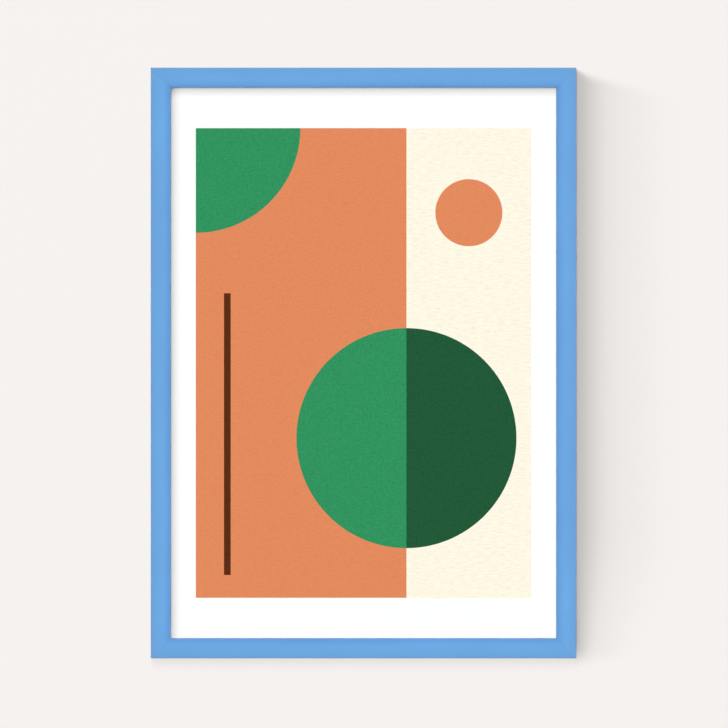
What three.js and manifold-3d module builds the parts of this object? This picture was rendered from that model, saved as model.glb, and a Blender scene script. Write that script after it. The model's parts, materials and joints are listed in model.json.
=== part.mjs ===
// A framed art print: an A3 sheet behind clear glass, in a mitred wooden frame that hangs on a wall.
// Millimetres, +Z up, the picture faces -Y and the wall is on the +Y side.
// Origin: the seat of the wall nail, in the middle notch of the sawtooth hanger.

import * as THREE from "three";
import { mergeVertices } from "three/addons/utils/BufferGeometryUtils.js";
import Module from "manifold-3d";

const wasm = await Module();
wasm.setup();

// ---- Driving dimensions ------------------------------------------------------------------------

const paper = { width: 297, height: 420, thickness: 0.3 }; // one A3 sheet
const paperSlack = 1; // between the sheet and the rebate, each side
const boardSlack = 0.5; // between the glazing or backing board and the rebate, each side
const layGap = 0.2; // between layers that lie on each other
const fitGap = 0.3; // round what passes through a hole or sits on a face

const rail = {
  face: 15, // width of the front
  depth: 22, // front to wall
  rebate: 6, // how far the rebate is cut in behind the front
  lip: 3, // thickness of the front lip
  crown: 0.5, // how far the face falls away to its edges
  roundOuter: 1.5,
  roundInner: 2,
  easeBack: 0.6, // eased corners at the back
  mitreGap: 0.1, // glue line
};
const groove = { width: 2.2, depth: 3.2, offset: 0.1 }; // saw cut for the turn clips, behind the board
const glazingThickness = 2;
const boardThickness = 3;

const clip = { thickness: 0.8, width: 10, reach: 14, bite: 2.4 }; // reach: pivot to centre of the tip
const clipSpread = { across: 80, along: 125 }; // each side of the middle of a short or a long edge
const rivet = { shank: 1.5, head: 3.4, dome: 1.1, foot: 2.9, footDepth: 0.5, sides: 16 }; // radii

const hanger = {
  length: 46,
  height: 10,
  thickness: 0.8,
  raised: 21, // length of the stretch that stands off the board
  stepLength: 2.5,
  stepHeight: 2.4,
  rivetSpread: 18,
  toothPitch: 3,
  toothDepth: 1.6,
  toothFlat: 0.4, // what is left between two notches
  notches: 7,
};
const nailDrop = 40; // top of the frame to the seat of the wall nail

const vNail = {
  leg: 4.2,
  halfAngle: 55, // degrees between a leg and the mitre
  thickness: 0.6,
  height: 8,
  sink: 0.4, // below the back of the frame
  apex: 8.6, // from the outer corner of the frame
};
const past = 1; // how far a cutting shape runs past what it cuts

// ---- What follows from them --------------------------------------------------------------------

const opening = { width: paper.width + 2 * paperSlack, height: paper.height + 2 * paperSlack };
const rim = rail.face - rail.rebate; // solid wood between the rebate and the outer side
const outer = { width: opening.width + 2 * rim, height: opening.height + 2 * rim };
const top = nailDrop;
const middle = top - outer.height / 2;
const board = { width: opening.width - 2 * boardSlack, height: opening.height - 2 * boardSlack };

// Depths are counted from the front of the frame and turned into y by atDepth.
const glazingFront = rail.lip + layGap;
const printFront = glazingFront + glazingThickness + layGap;
const boardFront = printFront + paper.thickness + layGap;
const boardBack = boardFront + boardThickness;
const clipFront = boardBack + fitGap;
const hangerMid = clipFront + hanger.stepHeight + hanger.thickness / 2;
const atDepth = (depth) => depth - hangerMid;

// ---- Materials ---------------------------------------------------------------------------------

const finish = (color, roughness, metalness = 0) =>
  new THREE.MeshStandardMaterial({ color, roughness, metalness });
const lacquer = finish("#6ea9e3", 0.45);
const paperWhite = finish("#f7f6f2", 0.9);
const clearGlass = finish("#eef6f6", 0.05);
clearGlass.transparent = true;
clearGlass.opacity = 0.2;
const fibreboard = finish("#9c7a55", 0.85);
const zinc = finish("#b9bcc0", 0.35, 1);
const brass = finish("#b99a5a", 0.35, 1);

// ---- Solids and booleans -----------------------------------------------------------------------

function solidOf(geometry) {
  const bare = geometry.clone();
  bare.deleteAttribute("normal");
  bare.deleteAttribute("uv");
  const merged = mergeVertices(bare, 1e-4);
  return new wasm.Manifold(
    new wasm.Mesh({
      numProp: 3,
      vertProperties: new Float32Array(merged.attributes.position.array),
      triVerts: new Uint32Array(merged.index.array),
    }),
  );
}

function geometryOf(solid) {
  const mesh = solid.getMesh();
  const geometry = new THREE.BufferGeometry();
  geometry.setAttribute("position", new THREE.BufferAttribute(mesh.vertProperties, 3));
  geometry.setIndex(new THREE.BufferAttribute(mesh.triVerts, 1));
  return geometry;
}

const cut = (geometry, tools) =>
  geometryOf(tools.reduce((left, tool) => left.subtract(solidOf(tool)), solidOf(geometry)));

// A plate with its outline in x and z, seen from the front, and its thickness from y = 0 backwards.
function plate(outline, thickness, curveSegments = 12) {
  const geometry = new THREE.ExtrudeGeometry(outline, {
    depth: thickness,
    bevelEnabled: false,
    curveSegments,
  });
  return geometry.rotateX(Math.PI / 2).translate(0, thickness, 0);
}

function panel(width, height, thickness) {
  return new THREE.BoxGeometry(width, thickness, height);
}

function named(name, geometry, material) {
  const mesh = new THREE.Mesh(geometry, material);
  mesh.name = name;
  return mesh;
}

// ---- Frame rails -------------------------------------------------------------------------------

// Section of a rail: x runs inwards from the outer side, y from the front to the back.
function railSection() {
  const half = rail.face / 2;
  const crownRadius = (half * half + rail.crown * rail.crown) / (2 * rail.crown);
  // Each front corner is an arc that meets the side and the crowned face without a kink.
  const cornerDepth = (radius) =>
    crownRadius - Math.sqrt((crownRadius - radius) ** 2 - (half - radius) ** 2);
  const outerDepth = cornerDepth(rail.roundOuter);
  const innerDepth = cornerDepth(rail.roundInner);
  const leanOuter = Math.asin((half - rail.roundOuter) / (crownRadius - rail.roundOuter));
  const leanInner = Math.asin((half - rail.roundInner) / (crownRadius - rail.roundInner));
  const grooveFront = boardBack + groove.offset;
  const quarter = Math.PI / 2;

  const section = new THREE.Shape();
  section.moveTo(0, outerDepth);
  section.absarc(rail.roundOuter, outerDepth, rail.roundOuter, 2 * quarter, 3 * quarter - leanOuter, false);
  section.absarc(half, crownRadius, crownRadius, 3 * quarter - leanOuter, 3 * quarter + leanInner, false);
  section.absarc(
    rail.face - rail.roundInner,
    innerDepth,
    rail.roundInner,
    3 * quarter + leanInner,
    4 * quarter,
    false,
  );
  section.lineTo(rail.face, rail.lip);
  section.lineTo(rim, rail.lip);
  section.lineTo(rim, grooveFront);
  section.lineTo(rim - groove.depth, grooveFront);
  section.lineTo(rim - groove.depth, grooveFront + groove.width);
  section.lineTo(rim, grooveFront + groove.width);
  section.lineTo(rim, rail.depth - rail.easeBack);
  section.lineTo(rim - rail.easeBack, rail.depth);
  section.lineTo(rail.easeBack, rail.depth);
  section.lineTo(0, rail.depth - rail.easeBack);
  section.closePath();
  return section;
}

// A rail that starts at an outer corner of the frame and runs along +z, with both ends mitred.
function railGeometry(length) {
  const geometry = new THREE.ExtrudeGeometry(railSection(), {
    depth: length,
    bevelEnabled: false,
    curveSegments: 8,
  });
  const setback = rail.mitreGap * Math.SQRT1_2;
  const position = geometry.attributes.position;
  for (let i = 0; i < position.count; i++) {
    const inwards = position.getX(i) + setback;
    const atStart = position.getZ(i) < length / 2;
    position.setZ(i, atStart ? inwards : length - inwards);
  }
  const startSlot = vNailGeometry(fitGap);
  const endSlot = vNailGeometry(fitGap).rotateY(Math.PI / 2).translate(0, 0, length);
  return cut(geometry, [startSlot, endSlot]);
}

// A V-nail across the mitre at the origin corner, its point towards the picture. With a margin it is
// the slot that the nail is driven into, open at the back.
function vNailGeometry(margin = 0) {
  const angle = THREE.MathUtils.degToRad(vNail.halfAngle);
  const [c, s] = [Math.cos(angle), Math.sin(angle)];
  const half = vNail.thickness / 2 + margin;
  const leg = vNail.leg + margin;
  const end = { along: vNail.apex - leg * c, across: leg * s };
  // x runs along the mitre from the outer corner, y across it
  const outline = new THREE.Shape();
  outline.moveTo(vNail.apex + half / s, 0);
  outline.lineTo(end.along + half * s, end.across + half * c);
  outline.lineTo(end.along - half * s, end.across - half * c);
  outline.lineTo(vNail.apex - half / s, 0);
  outline.lineTo(end.along - half * s, -end.across + half * c);
  outline.lineTo(end.along + half * s, -end.across - half * c);
  outline.closePath();
  const front = rail.depth - vNail.sink - vNail.height - margin;
  const height = margin ? rail.depth + past - front : vNail.height;
  return plate(outline, height).rotateY(-Math.PI / 4).translate(0, front, 0);
}

// The four corners in turn; each holds the rail that starts there and the V-nail of that corner.
function frame() {
  const group = new THREE.Group();
  const [x, low] = [outer.width / 2, top - outer.height];
  const corners = [
    { rail: "rail_left", corner: "lower_left", length: outer.height, at: [-x, low] },
    { rail: "rail_top", corner: "upper_left", length: outer.width, at: [-x, top] },
    { rail: "rail_right", corner: "upper_right", length: outer.height, at: [x, top] },
    { rail: "rail_bottom", corner: "lower_right", length: outer.width, at: [x, low] },
  ];
  corners.forEach((one, turn) => {
    const corner = new THREE.Group();
    corner.position.set(one.at[0], atDepth(0), one.at[1]);
    corner.rotation.y = (turn * Math.PI) / 2;
    corner.add(named(one.rail, railGeometry(one.length), lacquer));
    corner.add(named("v_nail_" + one.corner, vNailGeometry(), zinc));
    group.add(corner);
  });
  return group;
}

// ---- What lies in the rebate -------------------------------------------------------------------

function glazing() {
  const mesh = named("glazing", panel(board.width, board.height, glazingThickness), clearGlass);
  mesh.position.set(0, atDepth(glazingFront + glazingThickness / 2), middle);
  return mesh;
}

function artPrint() {
  const mesh = named("art_print", panel(paper.width, paper.height, paper.thickness), paperWhite);
  mesh.position.set(0, atDepth(printFront + paper.thickness / 2), middle);
  return mesh;
}

// Where each turn clip is riveted: x and z of its pivot, and the turn that points it outwards.
function clipPlaces() {
  const pivotInset = clip.reach + clip.width / 2 - clip.bite - boardSlack; // from the board's edge
  const [x, z] = [board.width / 2 - pivotInset, board.height / 2 - pivotInset];
  const { across, along } = clipSpread;
  return [
    { name: "top_left", x: -across, z: middle + z, turn: 0 },
    { name: "top_right", x: across, z: middle + z, turn: 0 },
    { name: "right_upper", x, z: middle + along, turn: Math.PI / 2 },
    { name: "right_lower", x, z: middle - along, turn: Math.PI / 2 },
    { name: "bottom_right", x: across, z: middle - z, turn: Math.PI },
    { name: "bottom_left", x: -across, z: middle - z, turn: Math.PI },
    { name: "left_lower", x: -x, z: middle - along, turn: -Math.PI / 2 },
    { name: "left_upper", x: -x, z: middle + along, turn: -Math.PI / 2 },
  ];
}

const hangerRivetHeight = hanger.height / 2 - hanger.toothDepth;

function hangerRivetPlaces() {
  return [
    { name: "left", x: -hanger.rivetSpread, z: hangerRivetHeight },
    { name: "right", x: hanger.rivetSpread, z: hangerRivetHeight },
  ];
}

// A shape turned about the y axis; the profile gives radius and depth behind the board's back face.
function turned(profile) {
  const points = profile.map(([radius, depth]) => new THREE.Vector2(radius, depth));
  return new THREE.LatheGeometry(points, rivet.sides);
}

// The hole for one rivet, with a counterbore at the board's front for the rivet's wide foot.
function rivetHole({ x, z }) {
  const hole = rivet.shank + fitGap;
  const bore = rivet.foot + fitGap;
  const seat = -boardThickness + layGap + rivet.footDepth + fitGap;
  const profile = [
    [0, -boardThickness - past],
    [bore, -boardThickness - past],
    [bore, seat],
    [hole, seat],
    [hole, past],
    [0, past],
  ];
  return turned(profile).translate(x, 0, z);
}

// A rivet that holds a strip as thick as a clip to the board, with a domed head over the strip.
function rivetGeometry() {
  const foot = -boardThickness + layGap;
  const headSeat = 2 * fitGap + clip.thickness;
  const profile = [
    [0, foot],
    [rivet.foot, foot],
    [rivet.foot, foot + rivet.footDepth],
    [rivet.shank, foot + rivet.footDepth],
    [rivet.shank, headSeat],
  ];
  const domeSteps = 5;
  for (let i = 0; i <= domeSteps; i++) {
    const angle = ((i / domeSteps) * Math.PI) / 2;
    const radius = i < domeSteps ? rivet.head * Math.cos(angle) : 0;
    profile.push([radius, headSeat + rivet.dome * Math.sin(angle)]);
  }
  return turned(profile);
}

function backing() {
  const [x, z] = [board.width / 2, board.height / 2];
  const sheet = panel(2 * x, 2 * z, boardThickness).translate(0, -boardThickness / 2, middle);
  const holes = [...clipPlaces(), ...hangerRivetPlaces()].map(rivetHole);
  const mesh = named("backing_board", cut(sheet, holes), fibreboard);
  mesh.position.y = atDepth(boardBack);
  return mesh;
}

// A turn clip pointing +z from its pivot: a flat tongue with round ends and a hole for its rivet.
function clipGeometry() {
  const round = clip.width / 2;
  const outline = new THREE.Shape();
  outline.absarc(0, 0, round, Math.PI, 2 * Math.PI, false);
  outline.absarc(0, clip.reach, round, 0, Math.PI, false);
  outline.closePath();
  const hole = new THREE.Path();
  hole.absarc(0, 0, rivet.shank + fitGap, 0, 2 * Math.PI, true);
  outline.holes.push(hole);
  return plate(outline, clip.thickness);
}

function clips() {
  const group = new THREE.Group();
  for (const place of clipPlaces()) {
    const pivot = new THREE.Group();
    pivot.position.set(place.x, atDepth(clipFront), place.z);
    pivot.rotation.y = place.turn;
    pivot.add(named("turn_clip_" + place.name, clipGeometry(), zinc));
    group.add(pivot);
  }
  return group;
}

function rivets() {
  const group = new THREE.Group();
  const add = (name, place) => {
    const mesh = named(name, rivetGeometry(), brass);
    mesh.position.set(place.x, atDepth(boardBack), place.z);
    group.add(mesh);
  };
  clipPlaces().forEach((place) => add("clip_rivet_" + place.name, place));
  hangerRivetPlaces().forEach((place) => add("hanger_rivet_" + place.name, place));
  return group;
}

// ---- Sawtooth hanger ---------------------------------------------------------------------------

// Outline from the front: a strip with round ends, rivet holes, and notches along its lower edge.
function hangerOutline() {
  const round = hanger.height / 2;
  const [low, high] = [-hanger.toothDepth, hanger.height - hanger.toothDepth];
  const end = hanger.length / 2 - round;
  const outline = new THREE.Shape();
  outline.moveTo(-end, low);
  const firstNotch = (-(hanger.notches - 1) / 2) * hanger.toothPitch;
  const halfNotch = (hanger.toothPitch - hanger.toothFlat) / 2;
  for (let i = 0; i < hanger.notches; i++) {
    const x = firstNotch + i * hanger.toothPitch;
    outline.lineTo(x - halfNotch, low);
    outline.lineTo(x, 0);
    outline.lineTo(x + halfNotch, low);
  }
  outline.absarc(end, hangerRivetHeight, round, -Math.PI / 2, Math.PI / 2, false);
  outline.lineTo(-end, high);
  outline.absarc(-end, hangerRivetHeight, round, Math.PI / 2, (3 * Math.PI) / 2, false);
  for (const { x, z } of hangerRivetPlaces()) {
    const hole = new THREE.Path();
    hole.absarc(x, z, rivet.shank + fitGap, 0, 2 * Math.PI, true);
    outline.holes.push(hole);
  }
  return outline;
}

// Side view, x along the strip and y behind the board: flat ends, and a middle that stands off it.
function hangerBend() {
  const lean = Math.atan2(hanger.stepHeight, hanger.stepLength);
  const shift = hanger.thickness * Math.tan(lean / 2);
  const end = hanger.length / 2 + past;
  const crest = hanger.raised / 2;
  const foot = crest + hanger.stepLength;
  const [lift, thick] = [hanger.stepHeight, hanger.thickness];
  const points = [
    [-end, 0],
    [-foot, 0],
    [-crest, lift],
    [crest, lift],
    [foot, 0],
    [end, 0],
    [end, thick],
    [foot + shift, thick],
    [crest + shift, lift + thick],
    [-crest - shift, lift + thick],
    [-foot - shift, thick],
    [-end, thick],
  ];
  const bend = new THREE.Shape(points.map(([x, y]) => new THREE.Vector2(x, y)));
  return new THREE.ExtrudeGeometry(bend, { depth: hanger.height + 2 * past, bevelEnabled: false })
    .translate(0, 0, -hanger.toothDepth - past);
}

function sawtoothHanger() {
  const depth = hanger.stepHeight + hanger.thickness + 2 * past;
  const blank = plate(hangerOutline(), depth).translate(0, -past, 0);
  const strip = geometryOf(solidOf(blank).intersect(solidOf(hangerBend())));
  const mesh = named("sawtooth_hanger", strip, zinc);
  mesh.position.y = atDepth(clipFront);
  return mesh;
}

// ---- The whole ---------------------------------------------------------------------------------

const framedPrint = new THREE.Group();
framedPrint.add(frame(), glazing(), artPrint(), backing(), clips(), rivets(), sawtoothHanger());

export default framedPrint;
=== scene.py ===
import json
import math

import bmesh
import bpy
from mathutils import Matrix, Vector
from mathutils.geometry import delaunay_2d_cdt

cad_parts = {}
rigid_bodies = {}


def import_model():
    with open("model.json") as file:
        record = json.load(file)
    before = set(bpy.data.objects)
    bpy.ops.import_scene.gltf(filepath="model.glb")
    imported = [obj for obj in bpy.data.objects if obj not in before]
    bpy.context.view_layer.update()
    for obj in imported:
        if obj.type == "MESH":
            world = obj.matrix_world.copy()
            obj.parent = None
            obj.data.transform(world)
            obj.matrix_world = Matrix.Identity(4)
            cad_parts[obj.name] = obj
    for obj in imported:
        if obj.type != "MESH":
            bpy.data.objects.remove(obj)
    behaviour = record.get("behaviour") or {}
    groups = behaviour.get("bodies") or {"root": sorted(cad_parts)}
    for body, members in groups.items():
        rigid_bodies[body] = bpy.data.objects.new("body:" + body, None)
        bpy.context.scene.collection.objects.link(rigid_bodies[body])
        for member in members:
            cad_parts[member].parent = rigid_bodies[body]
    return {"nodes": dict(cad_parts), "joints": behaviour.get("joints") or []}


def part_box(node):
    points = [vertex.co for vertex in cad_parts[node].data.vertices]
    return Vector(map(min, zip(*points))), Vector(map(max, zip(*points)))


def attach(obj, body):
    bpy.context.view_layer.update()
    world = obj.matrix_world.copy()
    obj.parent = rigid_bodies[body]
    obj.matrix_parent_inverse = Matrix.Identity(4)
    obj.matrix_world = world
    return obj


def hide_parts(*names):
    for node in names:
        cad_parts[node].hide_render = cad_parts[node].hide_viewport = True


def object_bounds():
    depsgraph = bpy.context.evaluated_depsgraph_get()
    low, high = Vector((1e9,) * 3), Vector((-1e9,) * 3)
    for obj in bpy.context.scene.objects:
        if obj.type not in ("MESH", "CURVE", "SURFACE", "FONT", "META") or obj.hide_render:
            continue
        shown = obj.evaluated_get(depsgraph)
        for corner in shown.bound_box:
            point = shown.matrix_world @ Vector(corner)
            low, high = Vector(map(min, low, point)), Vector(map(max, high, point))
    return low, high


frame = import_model()
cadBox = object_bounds()
scene = bpy.context.scene
mm = 0.001
outerLow, outerHigh = cadBox
outerCentre = (outerLow + outerHigh) / 2
outerSize = outerHigh - outerLow
print("frame loaded")


# small helpers for node trees


def linear(code):
    # an sRGB hex code as a linear colour
    channels = [int(code[i : i + 2], 16) / 255 for i in (1, 3, 5)]
    return (*[c / 12.92 if c <= 0.04045 else ((c + 0.055) / 1.055) ** 2.4 for c in channels], 1.0)


def addNode(tree, kind, inputs=None, **settings):
    node = tree.nodes.new(kind)
    for label, value in settings.items():
        setattr(node, label, value)
    for key, value in (inputs or {}).items():
        if isinstance(value, bpy.types.NodeSocket):
            tree.links.new(value, node.inputs[key])
        else:
            node.inputs[key].default_value = value
    return node


def made(tree, kind, inputs=None, **settings):
    return addNode(tree, kind, inputs, **settings).outputs[0]


def feed(tree, node, wires):
    for label, value in wires.items():
        tree.links.new(value, node.inputs[label])


def calc(tree, operation, first, second=0.0, third=0.0, clamp=False):
    values = {0: first, 1: second, 2: third}
    return made(tree, "ShaderNodeMath", values, operation=operation, use_clamp=clamp)


def remap(tree, value, low, high, newLow=0.0, newHigh=1.0):
    values = {"Value": value, "From Min": low, "From Max": high, "To Min": newLow, "To Max": newHigh}
    return addNode(tree, "ShaderNodeMapRange", values, interpolation_type="SMOOTHSTEP").outputs["Result"]


def mixColour(tree, factor, first, second):
    return addNode(tree, "ShaderNodeMix", {0: factor, 6: first, 7: second}, data_type="RGBA").outputs[2]


def mixNumber(tree, factor, first, second):
    return made(tree, "ShaderNodeMix", {0: factor, 2: first, 3: second})


def vectorMath(tree, operation, first, second=(0, 0, 0), output=0):
    values = {0: first, 1: second}
    return addNode(tree, "ShaderNodeVectorMath", values, operation=operation).outputs[output]


def scaled(tree, colour, factor):
    return made(tree, "ShaderNodeVectorMath", {0: colour, "Scale": factor}, operation="SCALE")


def objectCoords(tree):
    return addNode(tree, "ShaderNodeTexCoord").outputs["Object"]


def stretchedNoise(tree, coords, perMetre, detail=2.0, roughness=0.5):
    # noise centred on 0, with a count of cells per metre along each axis
    mapped = made(tree, "ShaderNodeMapping", {"Vector": coords, "Scale": perMetre})
    values = {"Vector": mapped, "Scale": 1.0, "Detail": detail, "Roughness": roughness}
    noise = made(tree, "ShaderNodeTexNoise", values)
    return calc(tree, "SUBTRACT", noise, 0.5)


def newGroup(name, kind, inputs, outputs):
    # an input is given by its kind of socket or, where it is a number, by its first value
    tree = bpy.data.node_groups.new(name, kind)
    for label, wanted in inputs.items():
        isNumber = isinstance(wanted, float)
        socketType = "NodeSocketFloat" if isNumber else "NodeSocket" + wanted
        socket = tree.interface.new_socket(label, in_out="INPUT", socket_type=socketType)
        if isNumber:
            socket.default_value = wanted
    for label, socketType in outputs.items():
        tree.interface.new_socket(label, in_out="OUTPUT", socket_type="NodeSocket" + socketType)
    return tree, tree.nodes.new("NodeGroupInput").outputs, tree.nodes.new("NodeGroupOutput")


def useGroup(tree, group, values):
    return addNode(tree, "ShaderNodeGroup", values, node_tree=group).outputs


def newMaterial(name, sockets):
    material = bpy.data.materials.new(name)
    material.use_nodes = True
    tree = material.node_tree
    shader = tree.nodes["Principled BSDF"]
    for label, value in sockets.items():
        shader.inputs[label].default_value = value
    return material, tree, shader


def addBump(tree, shader, height, distance, strength):
    values = {"Height": height, "Distance": distance, "Strength": strength}
    feed(tree, shader, {"Normal": made(tree, "ShaderNodeBump", values)})


# effects that the materials are made of; their noises are in cells per metre along each axis

paperTooth = {
    "mottle": (640, 900, 700),
    "streaks": (190, 900, 950),
    "fibres": (860, 700, 800),
    "roughness": 0.65,
}


def makePaperGrain():
    # heavy paper: a fine mottle with faint streaks along the sheet's width, and pale fibres
    # that show a little through the ink
    f = paperTooth
    inputs = {"Ink": "Color", "Mottle": 0.2, "Streaks": 0.1, "Fibres": 0.01}
    outputs = {"Color": "Color", "Height": "Float"}
    tree, given, result = newGroup("paperGrain", "ShaderNodeTree", inputs, outputs)
    coords = objectCoords(tree)
    mottle = stretchedNoise(tree, coords, f["mottle"], 2.0, f["roughness"])
    streaks = stretchedNoise(tree, coords, f["streaks"], 1.0)
    shade = calc(tree, "MULTIPLY_ADD", mottle, given["Mottle"], 1.0)
    shade = calc(tree, "MULTIPLY_ADD", streaks, given["Streaks"], shade)
    fibres = stretchedNoise(tree, coords, f["fibres"], 2.0, f["roughness"])
    fibres = calc(tree, "MULTIPLY", fibres, given["Fibres"])
    pale = made(tree, "ShaderNodeCombineXYZ", {"X": fibres, "Y": fibres, "Z": fibres})
    colour = vectorMath(tree, "ADD", scaled(tree, given["Ink"], shade), pale)
    feed(tree, result, {"Color": colour, "Height": calc(tree, "ADD", mottle, streaks)})
    return tree


woodFigure = {
    "bands": (420, 420, 9),
    "pores": (2600, 2600, 90),
    "poreDepth": (0.06, 0.2),  # noise values at which a pore starts and is full
}


def makeWoodGrain():
    # straight grain along the third coordinate: broad growth bands, fine pores
    f = woodFigure
    inputs = {"Vector": "Vector", "Early wood": "Color", "Late wood": "Color", "Pores": 0.3}
    outputs = {"Color": "Color", "Height": "Float"}
    tree, given, result = newGroup("woodGrain", "ShaderNodeTree", inputs, outputs)
    bands = stretchedNoise(tree, given["Vector"], f["bands"], 4.0, 0.55)
    pores = stretchedNoise(tree, given["Vector"], f["pores"], 2.0, 0.6)
    colour = mixColour(tree, remap(tree, bands, -0.14, 0.16), given["Early wood"], given["Late wood"])
    poreMask = remap(tree, pores, *f["poreDepth"])
    shade = calc(tree, "SUBTRACT", 1.0, calc(tree, "MULTIPLY", poreMask, given["Pores"]))
    height = calc(tree, "SUBTRACT", calc(tree, "MULTIPLY", bands, 0.6), poreMask)
    feed(tree, result, {"Color": scaled(tree, colour, shade), "Height": height})
    return tree


plating = {
    "hairlines": (260, 3000, 6500),
    "clouds": (240, 240, 240),
    "rubs": (900, 900, 900),
    "cloudTone": 0.35,
    "cloudRoughness": 0.25,
    "rubRoughness": 0.14,
    "hairlineRoughness": 0.2,
}


def makePlatedMetal():
    # rolled and plated sheet: hairline streaks along x, a cloudy plating and a few rubbed spots
    f = plating
    inputs = {"Metal": "Color", "Roughness": 0.3, "Streaks": 0.2}
    outputs = {"Color": "Color", "Roughness": "Float", "Height": "Float"}
    tree, given, result = newGroup("platedMetal", "ShaderNodeTree", inputs, outputs)
    coords = objectCoords(tree)
    streaks = stretchedNoise(tree, coords, f["hairlines"], 2.0, 0.6)
    clouds = stretchedNoise(tree, coords, f["clouds"], 3.0, 0.6)
    rubbed = remap(tree, stretchedNoise(tree, coords, f["rubs"], 4.0, 0.7), 0.08, 0.2)
    shade = calc(tree, "MULTIPLY_ADD", streaks, given["Streaks"], 1.0)
    shade = calc(tree, "MULTIPLY_ADD", clouds, f["cloudTone"], shade)
    rough = calc(tree, "MULTIPLY_ADD", clouds, f["cloudRoughness"], given["Roughness"])
    rough = calc(tree, "MULTIPLY_ADD", rubbed, f["rubRoughness"], rough)
    rough = calc(tree, "MULTIPLY_ADD", streaks, f["hairlineRoughness"], rough)
    height = calc(tree, "ADD", streaks, rubbed)
    feed(tree, result, {"Color": scaled(tree, given["Metal"], shade), "Roughness": rough, "Height": height})
    return tree


paperGrain = makePaperGrain()
woodGrain = makeWoodGrain()
platedMetal = makePlatedMetal()
print("effects made")


# materials, each with its own settings above it

railFinish = {
    "blue": "#6ca8e3",
    "thinBlue": "#6da3d8",  # painted shade towards the outer arris, where the crowned face turns from the light
    "deepBlue": "#5d95d5",  # painted shade towards the sight edge, where the rounding turns from the light
    "earlyWood": "#d9b98c",
    "lateWood": "#bf9565",
    "thinFrom": 7.6 * mm,  # measured inwards from the outer side
    "deepFrom": 8.5 * mm,
    "clouds": (55, 55, 22),  # the coat's tone wanders along a rail; cells per metre
    "cloudTone": 0.17,
    "peel": (700, 700, 420),  # orange peel of the sprayed coat
    "peelHeight": 0.12,
    "gloss": 0.36,
    "bareRoughness": 0.8,
    "pores": 0.35,
    "mist": (900, 900, 420),  # specks of the spray over the bare back
    "overspray": 1.5 * mm,  # how far they reach in
}


def makeLacquer(rail):
    # sprayed on the front and the outer side, bare wood in the rebate and at the back; the darker blues
    # along both edges of the face are painted shade
    f = railFinish
    material, tree, shader = newMaterial("blueLacquer", {"Specular IOR Level": 0.35})
    coords = addNode(tree, "ShaderNodeAttribute", attribute_name="railCoord").outputs["Vector"]
    across = addNode(tree, "ShaderNodeSeparateXYZ", {0: coords}).outputs
    mist = stretchedNoise(tree, coords, f["mist"], 3.0, 0.6)
    reach = calc(tree, "MULTIPLY_ADD", mist, f["overspray"], across["X"])
    behind = calc(tree, "GREATER_THAN", across["Y"], rail["lip"] + 0.1 * mm)
    inside = remap(tree, reach, rail["roundBack"], f["overspray"])
    bare = calc(tree, "MULTIPLY", behind, inside)

    bands = {"Early wood": linear(f["earlyWood"]), "Late wood": linear(f["lateWood"])}
    wood = useGroup(tree, woodGrain, {"Vector": coords, "Pores": f["pores"], **bands})
    cloud = stretchedNoise(tree, coords, f["clouds"], 2.0)
    # painted shade: the coat darkens towards the outer arris, and the cloud makes where it starts wander at
    # random
    outwards = remap(tree, across["X"], f["thinFrom"], -1 * mm)
    outerShadeAndCloud = calc(tree, "MULTIPLY_ADD", cloud, 0.3, outwards, clamp=True)
    # painted shade: the coat darkens towards the sight edge
    inwards = {"Value": across["X"], "From Min": f["deepFrom"], "From Max": rail["face"]}
    innerShade = calc(tree, "POWER", addNode(tree, "ShaderNodeMapRange", inwards).outputs["Result"], 2.0)
    lacquer = mixColour(tree, outerShadeAndCloud, linear(f["blue"]), linear(f["thinBlue"]))
    lacquer = mixColour(tree, innerShade, lacquer, linear(f["deepBlue"]))
    lacquer = scaled(tree, lacquer, calc(tree, "MULTIPLY_ADD", cloud, f["cloudTone"], 1.0))
    feed(tree, shader, {"Base Color": mixColour(tree, bare, lacquer, wood["Color"])})

    peel = stretchedNoise(tree, coords, f["peel"], 2.0)
    gloss = calc(tree, "MULTIPLY_ADD", peel, 0.08, f["gloss"])
    feed(tree, shader, {"Roughness": mixNumber(tree, bare, gloss, f["bareRoughness"])})
    fromWood = calc(tree, "MULTIPLY", wood["Height"], mixNumber(tree, bare, 0.05, 1.0))
    fromPeel = calc(tree, "MULTIPLY", peel, mixNumber(tree, bare, f["peelHeight"], 0.0))
    addBump(tree, shader, calc(tree, "ADD", fromWood, fromPeel), 0.08 * mm, 0.6)
    return material


inks = {
    "paper": {"Ink": "#f8f8f8", "Mottle": 0.03, "Streaks": 0.006, "Fibres": 0.0},
    "clay": {"Ink": "#dd865b", "Mottle": 0.26, "Streaks": 0.117, "Fibres": 0.045},
    "cream": {"Ink": "#f7f0de", "Mottle": 0.2, "Streaks": 0.24, "Fibres": 0.02},
    "fern": {"Ink": "#308e5b", "Mottle": 0.65, "Streaks": 0.13, "Fibres": 0.045},
    "pine": {"Ink": "#205536", "Mottle": 0.65, "Streaks": 0.13, "Fibres": 0.018},
    "umber": {"Ink": "#572b13", "Mottle": 0.65, "Streaks": 0.13, "Fibres": 0.018},
}


def makeInk(name):
    material, tree, shader = newMaterial(name + "Ink", {"Roughness": 0.9, "Specular IOR Level": 0.2})
    grain = useGroup(tree, paperGrain, dict(inks[name], Ink=linear(inks[name]["Ink"])))
    feed(tree, shader, {"Base Color": grain["Color"]})
    addBump(tree, shader, grain["Height"], 0.03 * mm, 0.5)
    return material


glassFinish = {
    "bends": 1.45,
    "tint": (0.992, 1.0, 0.996),
    "mirrorHeadOn": 0.1,  # the coating only kills reflections seen head on
    "passes": (0.975, 0.98, 0.978, 1),  # the share of a lamp's or the print's light that gets through
    "arris": 0.25 * mm,  # ground edges
}


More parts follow.
